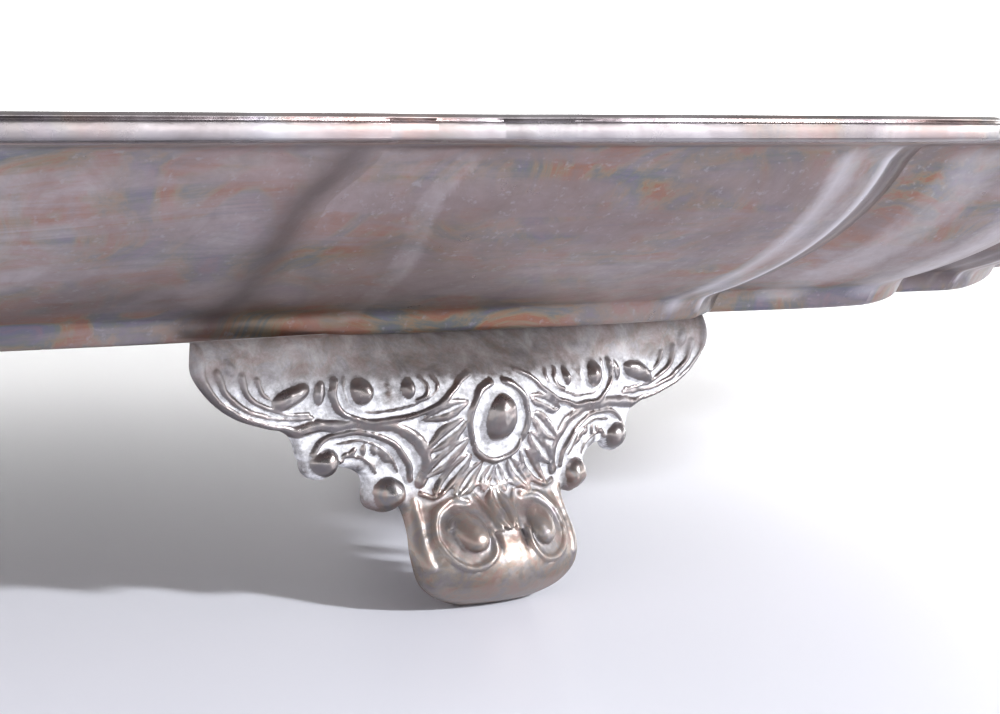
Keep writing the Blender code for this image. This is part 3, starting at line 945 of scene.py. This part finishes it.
def make_key():
    lamp = bpy.data.lights.new("side_key", "AREA")
    lamp.shape = "RECTANGLE"
    lamp.size = lamp.size_y = KEY_WIDTH
    lamp.energy = KEY_POWER
    lamp.color = KEY_COLOUR
    thing = bpy.data.objects.new("side_key", lamp)
    thing.location = facing_view(*KEY_PLACE)
    run = facing_view(*KEY_AIM) - facing_view(*KEY_PLACE)
    thing.rotation_euler = run.to_track_quat("-Z", "Y").to_euler()
    bpy.context.scene.collection.objects.link(thing)


def make_camera():
    camera = bpy.data.cameras.new("eye")
    camera.lens = EYE_LENS
    camera.sensor_width = 36.0
    camera.clip_start = 0.01
    camera.clip_end = 20.0
    thing = bpy.data.objects.new("eye", camera)
    thing.location = EYE
    thing.rotation_euler = (math.pi / 2 - EYE_PITCH, 0.0, VIEW_TURN - EYE_YAW)
    bpy.context.scene.collection.objects.link(thing)
    bpy.context.scene.camera = thing


def eased_range(nodes, taken, given):
    """A node that turns one range of values into another, eased at both ends."""
    node = nodes.new("ShaderNodeMapRange")
    node.interpolation_type = "SMOOTHSTEP"
    names = ("From Min", "From Max", "To Min", "To Max")
    for name, value in zip(names, (*taken, *given)):
        node.inputs[name].default_value = value
    return node


def make_world():
    """A white room: bright ahead of the eye and brightest low down, dimmer behind."""
    world = bpy.data.worlds.new("white_room")
    bpy.context.scene.world = world
    world.use_nodes = True
    nodes, links = world.node_tree.nodes, world.node_tree.links
    place = nodes.new("ShaderNodeTexCoord")
    turn = nodes.new("ShaderNodeVectorRotate")
    turn.rotation_type = "Z_AXIS"
    turn.inputs["Angle"].default_value = -VIEW_TURN
    split = nodes.new("ShaderNodeSeparateXYZ")
    ahead = eased_range(nodes, ROOM_TURN, (ROOM_BEHIND, ROOM_AHEAD))
    links.new(place.outputs["Generated"], turn.inputs["Vector"])
    links.new(turn.outputs["Vector"], split.inputs["Vector"])
    links.new(split.outputs["Y"], ahead.inputs["Value"])
    low = eased_range(nodes, GLOW_HEIGHTS, (1.0, BACKDROP_GLOW))
    links.new(split.outputs["Z"], low.inputs["Value"])
    shine = nodes.new("ShaderNodeMath")
    shine.operation = "MULTIPLY"
    links.new(ahead.outputs["Result"], shine.inputs[0])
    links.new(low.outputs["Result"], shine.inputs[1])
    links.new(shine.outputs[0], nodes["Background"].inputs["Strength"])
    nodes["Background"].inputs["Color"].default_value = (1.0, 1.0, 1.0, 1.0)


def main():
    silver = pan_finish()
    make_pan(silver)
    make_moulding(moulding_finish())
    make_feet(foot_finish())
    solder = solder_finish()
    for count in range(FOOT_COUNT):
        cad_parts[f"foot_solder_{count + 1}"].data.materials[0] = solder

    make_table()
    make_world()
    make_camera()
    make_key()
    bpy.context.scene.view_settings.view_transform = "Standard"


main()
